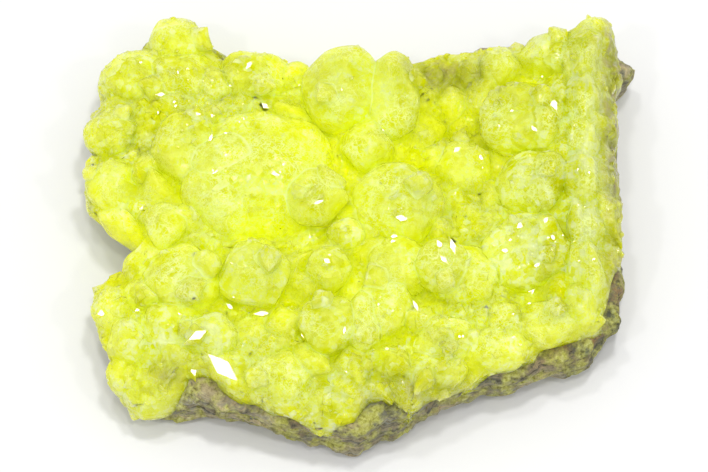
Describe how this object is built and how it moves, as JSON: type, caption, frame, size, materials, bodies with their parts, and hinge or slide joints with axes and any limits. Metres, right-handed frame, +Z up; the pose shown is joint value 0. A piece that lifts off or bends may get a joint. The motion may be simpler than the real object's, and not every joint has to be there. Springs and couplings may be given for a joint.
{
  "type": "native sulfur crystal specimen",
  "caption": "Translucent lemon-yellow sulfur crystals in a dense crust on a broken slab of grey-brown rock, lying on its flat underside.",
  "frame": {"origin": "on the flat break under the rock, near its middle", "axes": "+X along the specimen's length, +Y from its front edge to its back, +Z up, away from the flat break"},
  "size_m": [0.1027, 0.0858, 0.0257],
  "materials": {
    "matrix_rock": "dull broken host rock, grey-brown with olive stains",
    "sulfur": "native sulfur, translucent, with a resinous to glassy lustre"
  },
  "bodies": {
    "root": {"matrix_rock": "matrix_rock", "sulfur_crystals": "sulfur"}
  },
  "joints": []
}
